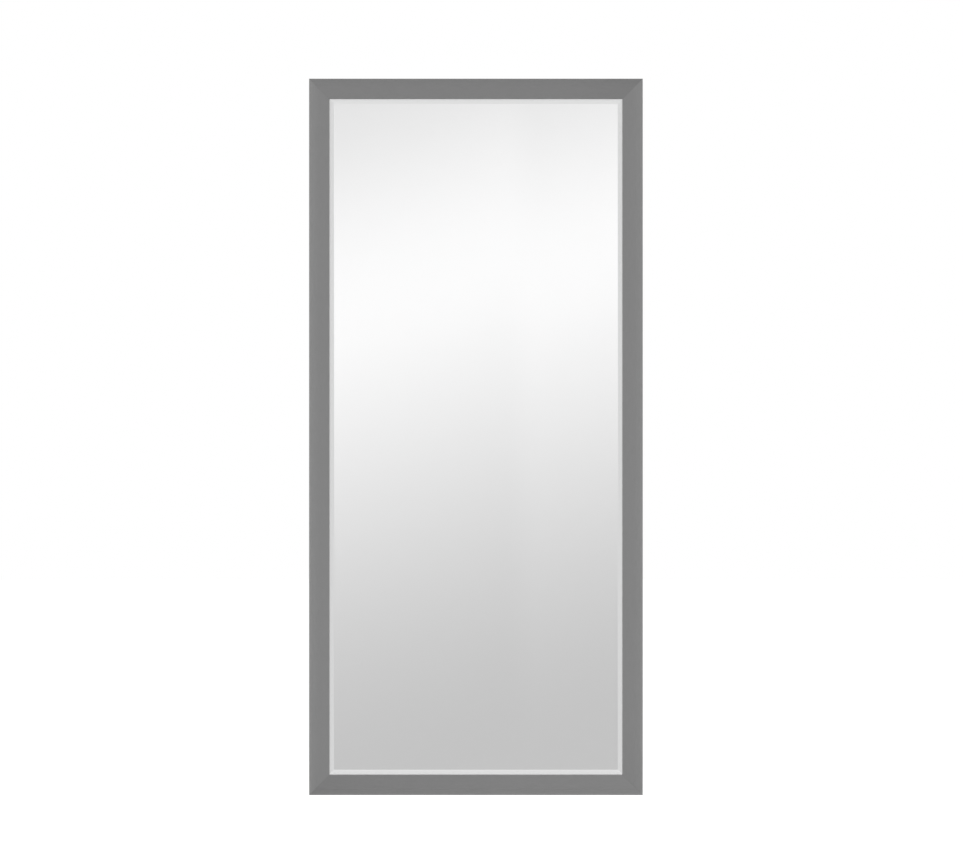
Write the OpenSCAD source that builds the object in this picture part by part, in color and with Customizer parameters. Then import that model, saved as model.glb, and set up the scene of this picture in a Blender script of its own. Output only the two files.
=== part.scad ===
// Full-length wall mirror: a mitred moulding frame round a bevelled glass, with its backing board,
// the fasteners that hold it together and two swinging rings to hang it by.
// Millimetres. X runs across the mirror, Z is up and -Y is the side that is looked into.
// The origin is on the wall that the mirror hangs on, midway between the two rings' bars.

/* [Frame] */
// Width over the frame
frame_w = 775; // [600:1:900]
// Height over the frame
frame_h = 1664; // [1400:1:1900]
// Depth of the moulding, front to back
frame_d = 25; // [23:0.5:32]
// Width of the moulding's face
rail_w = 47.5; // [42:0.5:60]
// Width of the outer part of the face that curves back
crown_w = 24; // [14:0.5:30]
// Radius of that curve
crown_r = 80; // [70:1:140]
// Radius of the outer front edge
edge_r = 1.6; // [0.8:0.1:3]
// Radius of the inner front edge
sight_r = 0.8; // [0.4:0.1:1.5]
// Width of the rebate that the glass lies in
rebate_w = 8; // [6:0.5:10]
// Depth of the rebate, from the back
rebate_d = 15; // [14:0.5:17]

/* [Mirror glass] */
// Thickness of the glass
glass_t = 5; // [4:0.5:6]
// Width of the bevel, with the part that the frame covers
bevel_w = 17; // [12:0.5:25]
// How much thinner the bevel leaves the edge of the glass
bevel_drop = 2.8; // [2:0.1:3.2]
// Clearance between the glass and the rebate wall, all round
glass_gap = 1.5; // [1:0.25:2.5]
// Clearance between the bevel and the lip of the frame
lip_gap = 0.2; // [0.1:0.05:0.5]
// Thickness of the silver and its backing paint
coating_t = 0.15; // [0.1:0.05:0.3]
// Hairline between the glass and the silver
coating_gap = 0.05; // [0.05:0.05:0.1]
// Length of a setting block under the glass
block_l = 60; // [30:1:100]
// Distance from the middle of the mirror to a setting block's middle
block_x = 180; // [120:1:220]

/* [Backing board] */
// Thickness of the board
board_t = 3.2; // [2.5:0.1:4]
// Clearance between the board and the rebate wall, at the sides and the top
board_gap = 1.25; // [0.5:0.25:2]

/* [Framer points] */
// Length of a point
point_l = 16; // [12:0.5:20]
// Width of a point
point_w = 5.5; // [4:0.5:8]
// Thickness of a point
point_t = 0.5; // [0.4:0.1:0.8]
// How far a point is driven into the wood
point_grip = 8; // [6:0.5:10]
// Farthest that two points stand apart
point_pitch = 215; // [150:5:300]

/* [V-nails] */
// V-nails in each corner
nail_count = 3; // [1:1:3]
// Length of one leg
nail_leg = 7; // [5:0.5:7]
// Thickness of the steel
nail_t = 0.6; // [0.4:0.1:0.8]
// How deep a V-nail reaches
nail_d = 10; // [6:0.5:12]
// How far a V-nail is driven in below the back face
nail_sink = 0.4; // [0.2:0.1:1]
// Length of the barb at the end of a leg
nail_barb = 1.2; // [0.8:0.1:1.6]

/* [Hangers] */
// Distance from the top of the frame down to the ring's bar
hanger_drop = 350; // [250:5:500]
// Width of the strap
strap_w = 12; // [10:0.5:14]
// Thickness of the strap
strap_t = 1.2; // [1:0.1:1.6]
// Length of the strap, from the ring's bar to its end
strap_l = 56; // [50:1:70]
// Height of the ring's bar above the frame
bar_lift = 3.3; // [3.2:0.1:3.6]
// Radius of the ring's wire
wire_r = 1.4; // [1.2:0.05:1.5]
// Running clearance of the ring in its eye, on the radius
eye_gap = 0.08; // [0.05:0.01:0.1]
// Wall of the rolled eye
eye_t = 1.1; // [0.9:0.1:1.3]
// Slit between the rolled end and the strap
eye_slit = 0.3; // [0.1:0.1:0.6]
// Side clearance between the eye and the bends of the ring
ring_side_gap = 1.5; // [1:0.25:2.5]
// Radius of the ring's two corner bends
ring_bend = 3.5; // [2.5:0.25:5]
// Straight part of the ring's sides
ring_side = 2; // [1:0.5:5]
// Distance from the ring's bar to the first screw
screw_first = 25; // [24.5:0.5:28]
// Distance between the two screws
screw_pitch = 20; // [16:1:24]
// Radius of the screw's shank
shank_r = 2; // [1.5:0.1:2.2]
// Length of the screw under its head
shank_l = 16; // [12:0.5:18]
// Length of the screw's point
screw_tip_l = 4; // [3:0.5:6]
// Radius at the very tip of the point
screw_tip_r = 0.2; // [0.1:0.1:0.5]
// Radius of the screw's head
head_r = 4; // [3.5:0.1:4.5]
// Height of the screw's head
head_h = 2.4; // [2:0.1:2.6]
// Height of the straight side of the head, under its dome
head_side = 0.7; // [0.4:0.1:1]
// Clearance between a screw and its holes, on the radius
screw_gap = 0.05; // [0.05:0.05:0.2]
// Width of the cross recess in a head
recess_w = 1.1; // [0.8:0.1:1.4]
// Length of the cross recess in a head
recess_l = 4.6; // [3.6:0.1:5]
// Depth of the cross recess in a head
recess_d = 1.4; // [1:0.1:1.6]

/* [Wall bumpers] */
// Radius of a bumper
bumper_r = 7; // [5:0.5:10]
// Height of a bumper
bumper_h = 6.4; // [6.2:0.1:8]
// Radius of a bumper's rounded rim
bumper_rim = 2.4; // [1:0.1:3]
// Distance from the bottom of the frame to a bumper's middle
bumper_z = 75; // [65:1:120]

/* [Hidden] */
$fn = 96;

PAINT = [0.51, 0.51, 0.51];
STEEL = [0.72, 0.73, 0.74];
DARK_STEEL = [0.34, 0.35, 0.37];

// How far a cutting shape reaches past what it cuts
over = 1;

// The turn about the mirror's middle that brings the bottom side to each side
BOTTOM = 0;
LEFT = 90;
TOP = 180;
RIGHT = 270;

// Solid wood behind the glass: the moulding's width without its rebate
wood_w = rail_w - rebate_w;

// The curve of the face and the outer edge's round meet along one tangent
curve_c = [crown_w, crown_r - frame_d];
edge_c = [edge_r, curve_c[1] - sqrt(pow(crown_r - edge_r, 2) - pow(crown_w - edge_r, 2))];
tangent = edge_c + (edge_c - curve_c) * edge_r / norm(edge_c - curve_c);

// Glass: the bevel passes the lip's inner edge at lip_gap behind it
glass_w = frame_w - 2 * (wood_w + glass_gap);
glass_h = frame_h - 2 * (wood_w + glass_gap);
lip_y = -rebate_d;
covered_w = rebate_w - glass_gap;
glass_front = lip_y + lip_gap - bevel_drop * (1 - covered_w / bevel_w);
glass_back = glass_front + glass_t;
coating_front = glass_back + coating_gap;
coating_back = coating_front + coating_t;

// Board: it stands on the bottom rebate wall, behind the coating
rebate_z = wood_w - frame_h / 2;
board_w = frame_w - 2 * (wood_w + board_gap);
board_h = frame_h - 2 * wood_w - board_gap;
board_back = coating_back + board_t;

// Framer points stand evenly along a side, a half step from each end
function point_count(side) = max(2, ceil((side - 2 * wood_w) / point_pitch));
function point_places(side) =
    let (count = point_count(side), step = (side - 2 * wood_w) / count)
    [for (i = [0:count - 1]) (i + 0.5 - count / 2) * step];

// Hangers stand on the middle of the stile's back
hanger_x = (frame_w - wood_w) / 2;
hanger_z = frame_h / 2 - hanger_drop;
eye_bore_r = wire_r + eye_gap;
eye_r = eye_bore_r + eye_t;
screw_places = [for (i = [0:1]) -screw_first - i * screw_pitch];
ring_bar = strap_w + 2 * ring_side_gap;
ring_r = ring_bar / 2 + ring_bend;

// A 2D shape drawn in X and Z, given a depth along Y from front to back
module plate(front, back) {
    translate([0, back, 0])
        rotate([90, 0, 0])
            linear_extrude(height = back - front)
                children();
}

// Every piece is drawn about the middle of the frame's back face, and set in its place by this
module in_place() {
    translate([0, -bumper_h, -hanger_z])
        children();
}

// Puts what is drawn for the bottom side of the frame on the side that angle gives
module on_side(angle) {
    rotate([0, angle, 0])
        children();
}

// Section of the moulding: x runs inward from the outer edge, y runs back from the face
module moulding_section() {
    difference() {
        union() {
            // Curved outer part of the face
            intersection() {
                translate(curve_c)
                    circle(r = crown_r);
                translate([tangent[0], -frame_d])
                    square([crown_w + over - tangent[0], frame_d]);
            }
            // Outer edge
            translate(edge_c)
                circle(r = edge_r);
            translate([0, edge_c[1]])
                square([tangent[0], -edge_c[1]]);
            // Flat inner part, with its rounded sight edge
            translate([crown_w, -frame_d])
                square([rail_w - sight_r - crown_w, frame_d]);
            translate([rail_w - sight_r, sight_r - frame_d])
                square([sight_r, frame_d - sight_r]);
            translate([rail_w - sight_r, sight_r - frame_d])
                circle(r = sight_r);
        }
        translate([wood_w, -rebate_d])
            square([rebate_w + over, rebate_d + over]);
    }
}

// One side of the frame, drawn as the bottom one: length along X, its outer edge at z = -reach
module mitred_moulding(length, reach) {
    cut = rail_w + over;
    intersection() {
        translate([length / 2, 0, -reach])
            rotate([0, -90, 0])
                linear_extrude(height = length)
                    moulding_section();
        plate(-frame_d - over, over)
            polygon([[-length / 2, -reach], [length / 2, -reach],
                     [length / 2 - cut, cut - reach], [cut - length / 2, cut - reach]]);
    }
}

// One framer point, its length along +Z: the tip is driven into the wood below z = 0
module framer_point() {
    tip = point_w / 2;
    plate(board_back, board_back + point_t)
        polygon([[0, -point_grip], [point_w / 2, tip - point_grip], [point_w / 2, point_l - point_grip],
                 [-point_w / 2, point_l - point_grip], [-point_w / 2, tip - point_grip]]);
}

// The row of framer points along one side, drawn as the bottom one
module framer_points(length, reach) {
    for (x = point_places(length))
        translate([x, 0, wood_w - reach])
            framer_point();
}

// One leg of a V-nail with its barb, along +X from the mitre line
module nail_leg_section() {
    square([nail_leg, nail_t]);
    translate([nail_leg, 0])
        rotate(45)
            square([nail_barb, nail_t]);
}

// One V-nail, its point on the mitre line of a corner whose sides run along +X and +Z
module v_nail(back) {
    plate(-nail_sink - nail_d, back) {
        nail_leg_section();
        mirror([1, -1])
            nail_leg_section();
    }
}

// The V-nails of the bottom left corner, evenly along the mitre, from their edge to the depth back
module corner_nails(back) {
    step = wood_w / (nail_count + 1);
    for (i = [1:nail_count])
        translate([i * step - nail_leg / 2, 0, i * step - nail_leg / 2])
            v_nail(back);
}

// Puts the bottom left corner's contents on the corner that sx and sz give, 1 or -1 each
module on_corner(sx, sz) {
    mirror([sx > 0 ? 1 : 0, 0, 0])
        mirror([0, 0, sz > 0 ? 1 : 0])
            translate([-frame_w / 2, 0, -frame_h / 2])
                children();
}

// A side of the frame with the slots of its framer points and V-nails
module frame_side(angle, length, reach) {
    difference() {
        on_side(angle)
            mitred_moulding(length, reach);
        on_side(angle)
            framer_points(length, reach);
        for (sx = [-1, 1], sz = [-1, 1])
            on_corner(sx, sz)
                corner_nails(over);
    }
}

// A stile with the pilot holes of its hanger, on the side that sx gives
module stile(angle, sx) {
    difference() {
        frame_side(angle, frame_h, frame_w / 2);
        for (z = screw_places)
            translate([sx * hanger_x, 0, hanger_z + z])
                rotate([90, 0, 0])
                    translate([0, 0, -over])
                        cylinder(r = shank_r + screw_gap, h = shank_l - strap_t + over);
    }
}

module top_rail() {
    color(PAINT)
        in_place()
            frame_side(TOP, frame_w, frame_h / 2);
}

module bottom_rail() {
    color(PAINT)
        in_place()
            frame_side(BOTTOM, frame_w, frame_h / 2);
}

module left_stile() {
    color(PAINT)
        in_place()
            stile(LEFT, -1);
}

module right_stile() {
    color(PAINT)
        in_place()
            stile(RIGHT, 1);
}

module v_nails(sx, sz) {
    color(DARK_STEEL)
        in_place()
            on_corner(sx, sz)
                corner_nails(-nail_sink);
}

// Section of the bevelled glass across one of its two directions
module glass_section(span) {
    edge = glass_front + bevel_drop;
    polygon([[-span / 2, glass_back], [-span / 2, edge], [bevel_w - span / 2, glass_front],
             [span / 2 - bevel_w, glass_front], [span / 2, edge], [span / 2, glass_back]]);
}

module mirror_glass() {
    color([0.78, 0.86, 0.84, 0.4])
        in_place()
            intersection() {
                translate([0, 0, -glass_h / 2])
                    linear_extrude(height = glass_h)
                        glass_section(glass_w);
                rotate([0, -90, 0])
                    translate([0, 0, -glass_w / 2])
                        linear_extrude(height = glass_w)
                            glass_section(glass_h);
            }
}

module silver_coating() {
    color([0.88, 0.89, 0.89])
        in_place()
            translate([-glass_w / 2, coating_front, -glass_h / 2])
                cube([glass_w, coating_t, glass_h]);
}

// Two blocks that carry the glass on the bottom rebate wall
module setting_blocks() {
    color([0.16, 0.16, 0.17])
        in_place()
            for (sx = [-1, 1])
                translate([sx * block_x - block_l / 2, lip_y, rebate_z])
                    cube([block_l, glass_back - lip_y, glass_gap]);
}

module backing_board() {
    color([0.45, 0.31, 0.2])
        in_place()
            translate([-board_w / 2, coating_back, rebate_z])
                cube([board_w, board_t, board_h]);
}

module framer_points_row(angle, length, reach) {
    color(DARK_STEEL)
        in_place()
            on_side(angle)
                framer_points(length, reach);
}

// Moves a hanger, drawn with the middle of its ring's bar over the back face, to the side that sx gives
module at_hanger(sx) {
    in_place()
        translate([sx * hanger_x, 0, hanger_z])
            children();
}

// The strap's flat, its rolled eye with the end tucked under, and two screw holes
module hanger_strap() {
    flat_l = strap_l - strap_w / 2;
    color(STEEL)
        difference() {
            union() {
                plate(0, strap_t) {
                    translate([-strap_w / 2, -flat_l])
                        square([strap_w, flat_l - eye_r]);
                    translate([0, -flat_l])
                        circle(d = strap_w);
                }
                // Eye and the ramp up to it, drawn from the side: x is up and y runs back
                translate([strap_w / 2, 0, 0])
                    rotate([0, -90, 0])
                        linear_extrude(height = strap_w) {
                            translate([0, bar_lift])
                                circle(r = eye_r);
                            polygon([[-2 * eye_r, 0], [-eye_r, 0], [0, bar_lift - eye_r],
                                     [0, bar_lift], [-eye_r, bar_lift - eye_r + strap_t],
                                     [-2 * eye_r, strap_t]]);
                        }
            }
            translate([-strap_w / 2 - over, bar_lift, 0])
                rotate([0, 90, 0])
                    cylinder(r = eye_bore_r, h = strap_w + 2 * over);
            // Slit where the rolled end comes back to the strap
            translate([-strap_w / 2 - over, bar_lift - eye_slit / 2, -eye_r - over])
                cube([strap_w + 2 * over, eye_slit, eye_r + over]);
            for (z = screw_places)
                translate([0, strap_t + over, z])
                    rotate([90, 0, 0])
                        cylinder(r = shank_r + screw_gap, h = strap_t + 2 * over);
        }
}

// A quarter, half or other share of the ring's wire bent about the Y axis, from +X towards +Z
module bent_wire(radius, angle) {
    rotate([90, 0, 0])
        rotate_extrude(angle = angle)
            translate([radius, 0])
                circle(r = wire_r);
}

// The D-shaped ring, hanging straight down from its bar
module hanger_ring() {
    drop = ring_bend + ring_side;
    color(STEEL)
        translate([0, bar_lift, 0]) {
            translate([-ring_bar / 2, 0, 0])
                rotate([0, 90, 0])
                    cylinder(r = wire_r, h = ring_bar);
            for (sx = [0, 1])
                mirror([sx, 0, 0]) {
                    translate([ring_bar / 2, 0, -ring_bend])
                        bent_wire(ring_bend, 90);
                    translate([ring_r, 0, -drop])
                        cylinder(r = wire_r, h = ring_side);
                }
            translate([0, 0, -drop])
                rotate([0, 180, 0])
                    bent_wire(ring_r, 180);
        }
}

// One pan-head wood screw, its head's underside on z = 0 and its point towards -Z
module pan_screw() {
    dome_h = head_h - head_side;
    dome_r = (pow(head_r, 2) + pow(dome_h, 2)) / (2 * dome_h);
    difference() {
        union() {
            translate([0, 0, screw_tip_l - shank_l])
                cylinder(r = shank_r, h = shank_l - screw_tip_l);
            translate([0, 0, -shank_l])
                cylinder(r1 = screw_tip_r, r2 = shank_r, h = screw_tip_l);
            rotate_extrude()
                intersection() {
                    square([head_r, head_h]);
                    translate([0, head_h - dome_r])
                        circle(r = dome_r);
                }
        }
        for (turn = [0, 90])
            rotate(turn)
                translate([-recess_l / 2, -recess_w / 2, head_h - recess_d])
                    cube([recess_l, recess_w, recess_d + over]);
    }
}

module hanger_screws() {
    color(STEEL)
        for (z = screw_places)
            translate([0, strap_t, z])
                rotate([-90, 0, 0])
                    rotate(45)
                        pan_screw();
}

// A round bumper on the stile's back, with a flat face for the wall
module wall_bumper(sx) {
    color([0.2, 0.2, 0.21])
        in_place()
            translate([sx * hanger_x, 0, bumper_z - frame_h / 2])
                rotate([-90, 0, 0])
                    rotate_extrude() {
                        square([bumper_r, bumper_h - bumper_rim]);
                        square([bumper_r - bumper_rim, bumper_h]);
                        translate([bumper_r - bumper_rim, bumper_h - bumper_rim])
                            intersection() {
                                circle(r = bumper_rim);
                                square(bumper_rim);
                            }
                    }
}

top_rail();
bottom_rail();
left_stile();
right_stile();
v_nails(-1, 1);  // v_nails_top_left
v_nails(1, 1);  // v_nails_top_right
v_nails(-1, -1);  // v_nails_bottom_left
v_nails(1, -1);  // v_nails_bottom_right
mirror_glass();
silver_coating();
setting_blocks();
backing_board();
framer_points_row(TOP, frame_w, frame_h / 2);  // framer_points_top
framer_points_row(BOTTOM, frame_w, frame_h / 2);  // framer_points_bottom
framer_points_row(LEFT, frame_h, frame_w / 2);  // framer_points_left
framer_points_row(RIGHT, frame_h, frame_w / 2);  // framer_points_right
at_hanger(-1) hanger_strap();  // hanger_strap_left
at_hanger(1) hanger_strap();  // hanger_strap_right
at_hanger(-1) hanger_ring();  // hanger_ring_left
at_hanger(1) hanger_ring();  // hanger_ring_right
at_hanger(-1) hanger_screws();  // hanger_screws_left
at_hanger(1) hanger_screws();  // hanger_screws_right
wall_bumper(-1);  // wall_bumper_left
wall_bumper(1);  // wall_bumper_right
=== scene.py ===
"""Full-length wall mirror, seen square-on in a plain pale studio."""

import math

import bpy
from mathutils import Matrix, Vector


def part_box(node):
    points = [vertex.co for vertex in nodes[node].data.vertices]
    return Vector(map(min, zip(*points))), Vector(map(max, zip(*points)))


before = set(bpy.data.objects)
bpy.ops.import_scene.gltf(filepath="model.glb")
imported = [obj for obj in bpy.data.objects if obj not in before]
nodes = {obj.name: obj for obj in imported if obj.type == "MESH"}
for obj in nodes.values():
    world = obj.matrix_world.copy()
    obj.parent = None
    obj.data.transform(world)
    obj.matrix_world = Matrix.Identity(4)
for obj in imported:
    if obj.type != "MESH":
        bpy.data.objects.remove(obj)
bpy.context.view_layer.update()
scene = bpy.context.scene

# Places, read from the frame
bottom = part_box("bottom_rail")[0][2]
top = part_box("top_rail")[1][2]
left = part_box("left_stile")[0][0]
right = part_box("right_stile")[1][0]
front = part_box("left_stile")[0][1]
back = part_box("left_stile")[1][1]
middle_z = (bottom + top) / 2
half_w = (right - left) / 2
half_h = (top - bottom) / 2

# The range that a noise texture mostly fills
NOISE_LOW = 0.3
NOISE_HIGH = 0.7


class Tree:
    """A node tree with short calls: add makes a node, and the others make the usual sums."""

    def __init__(self, owner):
        owner.use_nodes = True
        self.tree = owner.node_tree
        self.tree.nodes.clear()

    def add(self, kind, inputs=None, **settings):
        node = self.tree.nodes.new(kind)
        for name, value in settings.items():
            setattr(node, name, value)
        for name, value in (inputs or {}).items():
            self.put(node.inputs[name], value)
        return node

    def put(self, socket, value):
        """Links a socket to another, or sets it to a plain value."""
        if isinstance(value, bpy.types.NodeSocket):
            self.tree.links.new(value, socket)
        else:
            socket.default_value = value

    def math(self, operation, *values):
        node = self.add("ShaderNodeMath", dict(enumerate(values)), operation=operation)
        return node.outputs[0]

    def plus(self, a, b):
        return self.math("ADD", a, b)

    def minus(self, a, b):
        return self.math("SUBTRACT", a, b)

    def times(self, a, b):
        return self.math("MULTIPLY", a, b)

    def mapped(self, value, low, high, out_low, out_high, smooth=True):
        node = self.add("ShaderNodeMapRange", interpolation_type="SMOOTHSTEP" if smooth else "LINEAR")
        for i, v in enumerate((value, low, high, out_low, out_high)):
            self.put(node.inputs[i], v)
        return node.outputs[0]

    def spread(self, noise, out_low, out_high):
        """Maps a noise to a range."""
        return self.mapped(noise, NOISE_LOW, NOISE_HIGH, out_low, out_high)

    def blend(self, factor, a, b):
        """Mixes two numbers by a factor."""
        node = self.add("ShaderNodeMix", {0: factor, 2: a, 3: b}, data_type="FLOAT")
        return node.outputs[0]

    def mix(self, factor, a, b):
        """Mixes two colours by a factor."""
        node = self.add("ShaderNodeMix", {0: factor, 6: a, 7: b}, data_type="RGBA")
        return node.outputs[2]

    def scaled(self, vector, scale, offset=(0, 0, 0)):
        """The vector times scale, plus offset."""
        node = self.add("ShaderNodeVectorMath", {0: vector, 1: scale, 2: offset}, operation="MULTIPLY_ADD")
        return node.outputs[0]

    def noise(self, vector, scale, detail, roughness=0.5):
        node = self.add("ShaderNodeTexNoise", {"Vector": vector, "Scale": scale, "Detail": detail,
                                               "Roughness": roughness})
        return node.outputs["Fac"]

    def bump(self, height, distance, strength):
        node = self.add("ShaderNodeBump", {"Height": height, "Distance": distance, "Strength": strength})
        return node.outputs["Normal"]


def material(name):
    """A material with a Principled shader: its tree, its shader and its object coordinates come with it."""
    made = bpy.data.materials.new(name)
    tree = Tree(made)
    shader = tree.add("ShaderNodeBsdfPrincipled")
    out = tree.add("ShaderNodeOutputMaterial")
    tree.put(out.inputs["Surface"], shader.outputs["BSDF"])
    coordinates = tree.add("ShaderNodeTexCoord").outputs["Object"]
    return made, tree, shader, coordinates


def dress(made, *names):
    """Gives CAD nodes a material in every slot that they have."""
    for name in names:
        mesh = nodes[name].data
        if not mesh.materials:
            mesh.materials.append(made)
        for i in range(len(mesh.materials)):
            mesh.materials[i] = made


def linear(tone):
    """The linear light of an 8-bit screen tone."""
    c = tone / 255
    return c / 12.92 if c <= 0.04045 else ((c + 0.055) / 1.055) ** 2.4


# The axis that a member's grain runs along: X in a rail, Z in a stile
RAIL = 0
STILE = 2

# The paint's reflectance at the middle of a stile
PAINT = 0.1785
# Painted shade can darken the paint at a member's ends over this length, in metres like every length below
PAINTED_SHADE_END = 0.16
# The mitre's hairline: half of its dark core, and half of its full width
MITRE_CORE = 0.0001
MITRE_EDGE = 0.0006
# Rubbed arrises with a painted edge highlight, measured in from the outline: the outer one's fades out, the
# inner one's sets in
OUTER_ARRIS = (0.0030, 0.0055)
INNER_ARRIS = (0.0448, 0.0466)
# How far behind the front face their wear and painted highlight fade out
ARRIS_BACK = (0.0045, 0.0065)
# How high the painted light on the lowest edge reaches
PAINTED_LIGHT_RISE = 0.018
# From the outline to just outside the rebate's wall, and a hair more than the rebate's depth
REBATE_INSET = 0.0385
REBATE_DEPTH = 0.0151
# Paint gives way to bare wood this far in front of the back face
BARE_FROM = (0.0006, 0.0003)

# Pine staves: their length, half the pitch of the joints' fingers, and the fingers' slope
STAVE = 0.37
HALF_FINGER = 0.0035
FINGER_SLOPE = 3.0
EARLY_WOOD = (0.60, 0.42, 0.245, 1)
LATE_WOOD = (0.44, 0.255, 0.12, 1)
DARK_FIBRE = (0.38, 0.23, 0.12, 1)
PALE_STAVE = (0.66, 0.47, 0.28, 1)
GLUE_LINE = (0.2, 0.12, 0.06, 1)


def pine_colour(t, co, along, run, across, seed):
    """Short staves of pine that butt in zigzag finger joints along the run."""
    zigzag = t.math("PINGPONG", across, HALF_FINGER)
    stepped = t.plus(t.plus(run, t.times(zigzag, FINGER_SLOPE)), 10 + 0.13 * seed)
    staves = t.math("DIVIDE", stepped, STAVE)
    stave = t.math("FLOOR", staves)
    joint = t.math("PINGPONG", staves, 0.5)
    white_noise = t.add("ShaderNodeTexWhiteNoise", {"W": stave}, noise_dimensions="1D")
    chance = white_noise.outputs["Value"]
    # Each stave is cut from another place in the tree
    hop = t.times(chance, 3.0)
    shift = t.add("ShaderNodeCombineXYZ", {"X": hop, "Y": hop, "Z": hop}).outputs[0]
    stretched = t.scaled(co, (0.05, 1, 1) if along == RAIL else (1, 1, 0.05))
    pine_co = t.add("ShaderNodeVectorMath", {0: stretched, 1: shift}, operation="ADD").outputs[0]
    # Growth rings: close and wide by turns, each darkening slowly into a thin late line
    ring_co = t.add("ShaderNodeSeparateXYZ", {"Vector": pine_co}).outputs["Z" if along == RAIL else "X"]
    count = t.times(ring_co, t.mapped(chance, 0, 1, 190.0, 330.0, smooth=False))
    count = t.plus(count, t.times(t.noise(pine_co, 70.0, 1.0), 5.0))
    count = t.plus(count, t.times(t.noise(pine_co, 16.0, 1.0), 9.0))
    age = t.math("FRACT", count)
    late = t.times(t.mapped(age, 0.25, 0.88, 0, 1), t.mapped(age, 0.88, 1.0, 1, 0))
    fibre = t.noise(pine_co, 1500.0, 3.0, 0.6)
    pine = t.mix(late, EARLY_WOOD, LATE_WOOD)
    pine = t.mix(t.mapped(fibre, 0.35, 0.75, 0, 0.35), pine, DARK_FIBRE)
    pine = t.mix(t.times(chance, 0.35), pine, PALE_STAVE)
    return t.mix(t.mapped(joint, 0.0, 0.0012, 0.7, 0.0), pine, GLUE_LINE)


def painted_wood(name, along, seed, tones, painted_end_shade=(1.0, 1.0)):
    """Satin grey paint on the front and the edges, bare finger-jointed pine behind.

    along is RAIL or STILE. tones are factors of PAINT at the low end, the middle and the high end of the
    member's run: painted light and shade, lighter or darker as the light falls along the member. The last
    argument holds the factors of painted shade to which it falls at the very low and the very high end.
    """
    made, t, shader, co = material(name)
    axes = t.add("ShaderNodeSeparateXYZ", {"Vector": co}).outputs
    x, y, z = axes["X"], axes["Y"], axes["Z"]
    run = axes[along]
    across = z if along == RAIL else x
    low, mid, high = (left, 0, right) if along == RAIL else (bottom, middle_z, top)
    low_tone, mid_tone, high_tone = (PAINT * tone for tone in tones)
    from_side = t.minus(half_w, t.math("ABSOLUTE", x))
    off_middle = t.math("ABSOLUTE", t.minus(z, middle_z))
    from_end = t.minus(half_h, off_middle)
    from_edge = t.math("MINIMUM", from_side, from_end)

    # Paint: a slow drift of tone, the grain that telegraphs through it and a fine roller stipple
    grain_co = t.scaled(co, (0.06, 1, 1) if along == RAIL else (1, 1, 0.06), (seed, 0, seed))
    drift = t.noise(t.scaled(co, (1, 1, 1), (seed, 0, 0)), 3.0, 2.0)
    grain = t.noise(grain_co, 700.0, 4.0, 0.6)
    pores = t.noise(grain_co, 1900.0, 2.0, 0.6)
    stipple = t.noise(co, 1400.0, 3.0, 0.6)
    # Painted light and shade: the tone runs between the member's given levels and falls at its ends
    tone = t.plus(t.mapped(run, low, mid, low_tone, mid_tone, smooth=False),
                  t.mapped(run, mid, high, 0, high_tone - mid_tone, smooth=False))
    tone = t.times(tone, t.mapped(run, low, low + PAINTED_SHADE_END, painted_end_shade[0], 1.0))
    tone = t.times(tone, t.mapped(run, high - PAINTED_SHADE_END, high, 1.0, painted_end_shade[1]))
    tone = t.times(tone, t.spread(drift, 0.99, 1.01))
    tone = t.times(tone, t.spread(grain, 0.955, 1.04))
    # The mitres show as hairlines, where the paint dips and holds a little dust
    off_mitre = t.math("ABSOLUTE", t.minus(from_side, from_end))
    tone = t.times(tone, t.mapped(off_mitre, MITRE_CORE, MITRE_EDGE, 0.7, 1.0))
    # Paler along the outer and the inner arris, most of all low down: partly wear from handling, partly a
    # painted edge highlight
    arrises = t.plus(t.mapped(from_edge, *OUTER_ARRIS, 1.0, 0.0),
                     t.mapped(from_edge, *INNER_ARRIS, 0.0, 1.0))
    on_front = t.mapped(y, front + ARRIS_BACK[0], front + ARRIS_BACK[1], 1.0, 0.0)
    patchy = t.spread(t.noise(co, 55.0, 3.0, 0.6), 0.05, 0.11)
    low_down = t.mapped(z, bottom, top, 1.4, 0.3, smooth=False)
    wear_and_highlight = t.times(t.times(arrises, on_front), t.times(patchy, low_down))
    tone = t.times(tone, t.plus(wear_and_highlight, 1.0))
    # Painted light makes the lowest edge paler still, where the frame's face turns down from the light
    tone = t.times(tone, t.mapped(z, bottom, bottom + PAINTED_LIGHT_RISE, 1.035, 1.0))
    paint = t.add("ShaderNodeCombineColor", {"Red": tone, "Green": tone, "Blue": tone}).outputs[0]
    paint_rough = t.spread(stipple, 0.26, 0.42)

    # Bare wood shows on the back face and inside the rebate
    behind = t.mapped(y, back - BARE_FROM[0], back - BARE_FROM[1], 0, 1)
    in_x = t.math("LESS_THAN", t.math("ABSOLUTE", x), half_w - REBATE_INSET)
    in_z = t.math("LESS_THAN", off_middle, half_h - REBATE_INSET)
    in_y = t.math("GREATER_THAN", y, back - REBATE_DEPTH)
    rebate = t.times(t.times(in_x, in_z), in_y)
    bare = t.math("MAXIMUM", behind, rebate)
    # A little overspray feathers in from the painted edges
    ragged = t.plus(from_edge, t.times(t.noise(co, 260.0, 4.0, 0.6), -0.006))
    bare = t.times(bare, t.mapped(ragged, -0.003, 0.002, 0.0, 1.0))

    pine = pine_colour(t, co, along, run, across, seed)
    t.put(shader.inputs["Base Color"], t.mix(bare, paint, pine))
    t.put(shader.inputs["Roughness"], t.blend(bare, paint_rough, 0.72))
    shader.inputs["Specular IOR Level"].default_value = 0.8
    height = t.plus(t.times(grain, 0.6), t.times(stipple, 0.3))
    height = t.plus(height, t.times(pores, 0.25))
    t.put(shader.inputs["Normal"], t.bump(height, 0.0002, 0.8))
    return made


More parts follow.
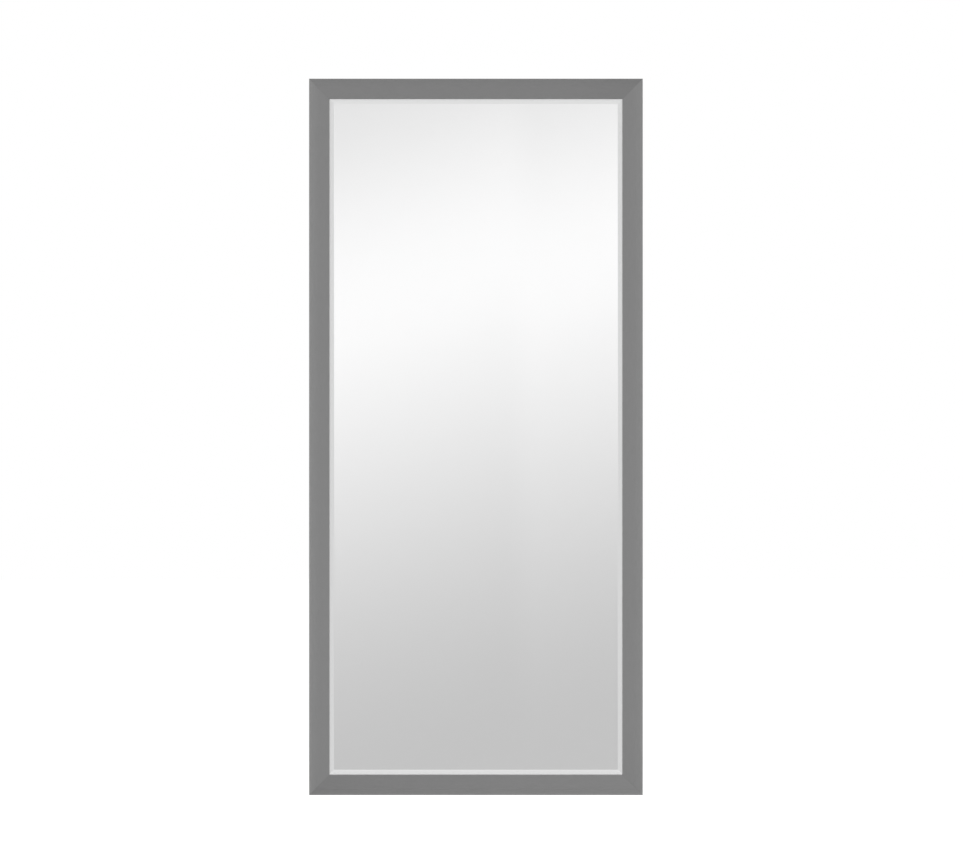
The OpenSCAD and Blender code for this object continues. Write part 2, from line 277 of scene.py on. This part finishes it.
def clear_glass():
    """Clear polished float glass."""
    made, t, shader, co = material("clear_glass")
    shader.inputs["Base Color"].default_value = (0.993, 0.993, 0.993, 1)
    shader.inputs["Transmission Weight"].default_value = 1.0
    shader.inputs["IOR"].default_value = 1.52
    shader.inputs["Roughness"].default_value = 0.0
    # The slow wave that the rollers leave in float glass
    wave = t.noise(t.scaled(co, (5.0, 0.0, 0.7)), 1.0, 2.0, 0.4)
    t.put(shader.inputs["Normal"], t.bump(wave, 0.00025, 0.5))
    return made


def mirror_silver():
    """Silver, bright through the glass."""
    made, t, shader, co = material("mirror_silver")
    shader.inputs["Metallic"].default_value = 1.0
    shader.inputs["Roughness"].default_value = 0.0
    cloud = t.noise(co, 2.0, 2.0)
    t.put(shader.inputs["Base Color"], t.mix(cloud, (0.974, 0.974, 0.975, 1), (0.981, 0.981, 0.982, 1)))
    return made


def hardboard():
    """Brown hardboard: matted fibres, a few long pale ones, and dark flecks of bark."""
    made, t, shader, co = material("hardboard")
    fibre = t.noise(co, 420.0, 5.0, 0.65)
    upright = t.noise(t.scaled(co, (1, 1, 0.12), (5, 5, 5)), 900.0, 2.0, 0.6)
    level = t.noise(t.scaled(co, (0.12, 1, 1), (5, 5, 5)), 900.0, 2.0, 0.6)
    long_fibre = t.math("MAXIMUM", upright, level)
    flecks = t.noise(t.scaled(co, (1, 1, 1), (9, 9, 9)), 260.0, 2.0, 0.6)
    blotch = t.noise(co, 9.0, 5.0, 0.6)
    base = t.mix(t.spread(fibre, 0, 1), (0.165, 0.085, 0.042, 1), (0.265, 0.15, 0.08, 1))
    base = t.mix(t.mapped(long_fibre, 0.62, 0.76, 0, 0.55), base, (0.36, 0.23, 0.13, 1))
    base = t.mix(t.mapped(flecks, 0.68, 0.76, 0, 0.6), base, (0.075, 0.035, 0.018, 1))
    base = t.mix(t.mapped(blotch, 0.35, 0.7, 0, 0.22), base, (0.14, 0.072, 0.036, 1))
    t.put(shader.inputs["Base Color"], base)
    t.put(shader.inputs["Roughness"], t.spread(fibre, 0.55, 0.8))
    height = t.plus(fibre, t.times(long_fibre, 0.5))
    t.put(shader.inputs["Normal"], t.bump(height, 0.00015, 0.8))
    return made


def steel(name, dark, light, rough_low, rough_high):
    """Plated or plain steel: clouded tone, fine scratches and a soft unevenness."""
    made, t, shader, co = material(name)
    shader.inputs["Metallic"].default_value = 1.0
    cloud = t.noise(co, 350.0, 3.0, 0.55)
    scratch = t.noise(t.scaled(co, (1, 1, 0.06)), 3500.0, 2.0, 0.6)
    t.put(shader.inputs["Base Color"], t.mix(t.spread(cloud, 0, 1), dark, light))
    t.put(shader.inputs["Roughness"], t.spread(scratch, rough_low, rough_high))
    height = t.plus(cloud, t.times(scratch, 0.3))
    t.put(shader.inputs["Normal"], t.bump(height, 0.00004, 0.5))
    return made


def rubber(name, colour, light):
    """Matte rubber with a little paler dust on it."""
    made, t, shader, co = material(name)
    grainy = t.noise(co, 1800.0, 4.0, 0.6)
    dust = t.noise(co, 260.0, 3.0, 0.6)
    t.put(shader.inputs["Base Color"], t.mix(t.mapped(dust, 0.45, 0.8, 0, 0.5), colour, light))
    t.put(shader.inputs["Roughness"], t.spread(grainy, 0.55, 0.75))
    t.put(shader.inputs["Normal"], t.bump(grainy, 0.00006, 0.7))
    return made


# The members' tones and end factors are painted light and shade, each member as it is lit in its place
dress(painted_wood("grey_paint_top", RAIL, 1.0, (0.930, 0.923, 0.890), (1.0, 0.952)), "top_rail")
dress(painted_wood("grey_paint_bottom", RAIL, 2.0, (0.890, 0.974, 1.029), (0.965, 1.0)), "bottom_rail")
dress(painted_wood("grey_paint_left", STILE, 3.0, (1.036, 1.0, 0.998), (0.965, 1.0)), "left_stile")
dress(painted_wood("grey_paint_right", STILE, 4.0, (1.033, 1.0, 0.990), (0.93, 1.0)), "right_stile")
dress(clear_glass(), "mirror_glass")
dress(mirror_silver(), "silver_coating")
dress(hardboard(), "backing_board")
dull_steel = steel("dull_steel", (0.30, 0.31, 0.33, 1), (0.42, 0.43, 0.45, 1), 0.32, 0.5)
dress(dull_steel, "v_nails_top_left", "v_nails_top_right", "v_nails_bottom_left", "v_nails_bottom_right",
      "framer_points_top", "framer_points_bottom", "framer_points_left", "framer_points_right")
zinc = steel("zinc_plate", (0.60, 0.61, 0.63, 1), (0.74, 0.75, 0.76, 1), 0.2, 0.34)
dress(zinc, "hanger_strap_left", "hanger_strap_right", "hanger_ring_left", "hanger_ring_right",
      "hanger_screws_left", "hanger_screws_right")
dress(rubber("bumper_rubber", (0.035, 0.035, 0.037, 1), (0.075, 0.074, 0.072, 1)),
      "wall_bumper_left", "wall_bumper_right")
dress(rubber("block_rubber", (0.025, 0.025, 0.026, 1), (0.05, 0.05, 0.05, 1)), "setting_blocks")


# Studio: a white surround, plain soft light, and a tall soft gradient for the mirror to look back at
SOFT_LIGHT = 0.62
# The share of the room's light that the glass and the silver give back
GIVEN_BACK = 0.975
ROOM = linear(214)
ABOVE_AND_BELOW = linear(224)
FAR_ROOM = linear(236)
# The panel brightens from the first height to the second, in the Z of a direction
PANEL_DIM = linear(196.7)
PANEL_BRIGHT = linear(264.7)
PANEL_BRIGHTENS = (-0.0631, 0.0609)
# It fades again toward its top, which keeps this share of the light
PANEL_FADES = (0.0212, 0.0803)
PANEL_TOP = 0.715
# How far its levels climb from left to right
PANEL_LEAN = 0.295
# Soft bands in the far room: the height of a brightest one, the step to the next, and their strength
BAND_AT = 0.065
BAND_STEP = 0.255
BAND_DEPTH = 0.13

world = bpy.data.worlds.new("studio")
scene.world = world
w = Tree(world)
direction = w.add("ShaderNodeTexCoord").outputs["Generated"]
d = w.add("ShaderNodeSeparateXYZ", {"Vector": direction}).outputs
side = w.math("ABSOLUTE", d["X"])
rise = w.math("ABSOLUTE", d["Z"])

# Behind the camera the light panel is brightest a little above eye level and leans to one side
slant = w.minus(d["Z"], w.times(d["X"], PANEL_LEAN))
# It is made of two sheets, of which the right one hangs a touch lower
slant = w.plus(slant, w.mapped(d["X"], 0.0038, 0.0116, 0.0, 0.0045))
panel = w.times(w.mapped(slant, *PANEL_BRIGHTENS, PANEL_DIM, PANEL_BRIGHT),
                w.mapped(slant, *PANEL_FADES, 1.0, PANEL_TOP))
in_panel = w.times(w.mapped(side, 0.045, 0.10, 1.0, 0.0), w.mapped(rise, 0.072, 0.098, 1.0, 0.0))
in_panel = w.times(in_panel, w.math("LESS_THAN", d["Y"], 0.0))
# Round it the room falls to an even pale grey, a little lighter just above and below
lighter = w.times(w.mapped(rise, 0.07, 0.10, 0.0, ABOVE_AND_BELOW - ROOM),
                  w.mapped(side, 0.16, 0.34, 1.0, 0.0))
room = w.plus(ROOM, lighter)
# Farther round, white strips stand at both sides of a clouded paler room with a greyer ceiling and floor
farther = w.math("MAXIMUM", w.mapped(side, 0.17, 0.26, 0.0, 1.0), w.mapped(rise, 0.13, 0.20, 0.0, 1.0))
walls = w.minus(w.mapped(side, 0.34, 0.50, 0.0, 1.0), w.mapped(side, 0.52, 0.66, 0.0, 0.5))
caps = w.mapped(rise, 0.17, 0.50, 0.0, 1.0)
lit_walls = w.times(walls, w.minus(1.0, caps))
far = w.plus(w.times(lit_walls, 1.0 - FAR_ROOM), w.times(caps, -0.20))
# Soft level bands of light and shade grade the mirror from every side, as the panel does from the front
band = w.math("COSINE", w.times(w.minus(d["Z"], BAND_AT), 2 * math.pi / BAND_STEP))
banded = w.plus(FAR_ROOM - ROOM, w.times(band, BAND_DEPTH))
far = w.plus(far, w.times(banded, farther))
far = w.plus(far, w.mapped(rise, 0.55, 0.95, 0.0, 0.16))
clouds = w.spread(w.noise(direction, 4.0, 1.0), -0.06, 0.06)
far = w.plus(far, w.times(clouds, w.math("MAXIMUM", walls, caps)))
around = w.math("MINIMUM", w.math("MAXIMUM", w.plus(room, far), 0.3), 1.0)
seen = w.math("DIVIDE", w.blend(in_panel, around, panel), GIVEN_BACK)

# Mirrors and glass see that room, paint and wood get the soft light, and the camera sees plain white
path = w.add("ShaderNodeLightPath").outputs
mirrored = w.math("MAXIMUM", path["Is Glossy Ray"], path["Is Transmission Ray"])
strength = w.blend(path["Is Camera Ray"], w.blend(mirrored, SOFT_LIGHT, seen), 1.0)
sky = w.add("ShaderNodeBackground", {"Color": (1, 1, 1, 1), "Strength": strength})
w.add("ShaderNodeOutputWorld", {"Surface": sky.outputs["Background"]})


def softbox(name, x, y, above_middle, height, watts):
    """A large soft lamp, aimed at the mirror's middle, that mirrors and glass don't show."""
    lamp = bpy.data.lights.new(name, "AREA")
    lamp.shape = "RECTANGLE"
    lamp.size = 2.4
    lamp.size_y = height
    lamp.energy = watts
    lamp_object = bpy.data.objects.new(name, lamp)
    scene.collection.objects.link(lamp_object)
    place = Vector((x, y, middle_z + above_middle))
    lamp_object.location = place
    lamp_object.rotation_euler = (Vector((0, 0, middle_z)) - place).to_track_quat("-Z", "Y").to_euler()
    lamp_object.visible_glossy = False
    lamp_object.visible_transmission = False
    lamp_object.visible_camera = False


softbox("key", -3.3, -4.1, 0.7, 3.2, 82)
softbox("fill", 3.5, -3.9, 0.2, 3.2, 74)
softbox("back_key", 2.8, 4.0, 1.8, 2.4, 70)
softbox("back_fill", -3.2, 3.6, 0.6, 2.4, 34)

# Floor: the mirror hangs above it, as it does on a wall
DROP = 0.35
REACH = 30.0
floor_z = bottom - DROP
floor_mesh = bpy.data.meshes.new("floor")
floor_mesh.from_pydata([(-REACH, -REACH, floor_z), (REACH, -REACH, floor_z),
                        (REACH, REACH, floor_z), (-REACH, REACH, floor_z)], [], [(0, 1, 2, 3)])
floor = bpy.data.objects.new("floor", floor_mesh)
scene.collection.objects.link(floor)
floor.visible_glossy = False
floor.visible_transmission = False
pale = bpy.data.materials.new("pale_floor")
f = Tree(pale)
matte = f.add("ShaderNodeBsdfDiffuse", {"Color": (0.8, 0.8, 0.8, 1)})
# The camera sees it lifted to white, a little less near the mirror, where its shadow falls
floor_co = f.add("ShaderNodeTexCoord").outputs["Object"]
away = f.add("ShaderNodeVectorMath", {0: floor_co}, operation="LENGTH").outputs["Value"]
raised = f.mapped(away, 1.9, 2.8, 0.28, 0.55)
for_camera = f.add("ShaderNodeLightPath").outputs["Is Camera Ray"]
lift = f.add("ShaderNodeEmission", {"Strength": f.times(for_camera, raised)})
both = f.add("ShaderNodeAddShader", {0: matte.outputs[0], 1: lift.outputs[0]})
# Seen from below, it isn't there
backfacing = f.add("ShaderNodeNewGeometry").outputs["Backfacing"]
clear = f.add("ShaderNodeBsdfTransparent")
one_sided = f.add("ShaderNodeMixShader", {0: backfacing, 1: both.outputs[0], 2: clear.outputs[0]})
f.add("ShaderNodeOutputMaterial", {"Surface": one_sided.outputs[0]})
floor_mesh.materials.append(pale)

# Camera: far back and square-on, framed as the photograph is
IMAGE_W = 963
IMAGE_H = 867
# The frame's width and middle in the photograph, in pixels
FRAME_WIDE = 333.8
FRAME_X = 475.93
FRAME_Y = 436.89
DISTANCE = 12.0
SENSOR = 36
pixel = (right - left) / FRAME_WIDE
camera_data = bpy.data.cameras.new("camera")
camera_data.sensor_width = SENSOR
camera_data.lens = SENSOR * DISTANCE / (IMAGE_W * pixel)
camera_data.clip_end = 200
camera = bpy.data.objects.new("camera", camera_data)
scene.collection.objects.link(camera)
offset_x = (IMAGE_W / 2 - FRAME_X) * pixel
offset_z = (FRAME_Y - IMAGE_H / 2) * pixel
camera.location = (offset_x, front - DISTANCE, middle_z + offset_z)
camera.rotation_euler = (math.radians(90), 0, 0)
scene.camera = camera

scene.view_settings.view_transform = "Standard"
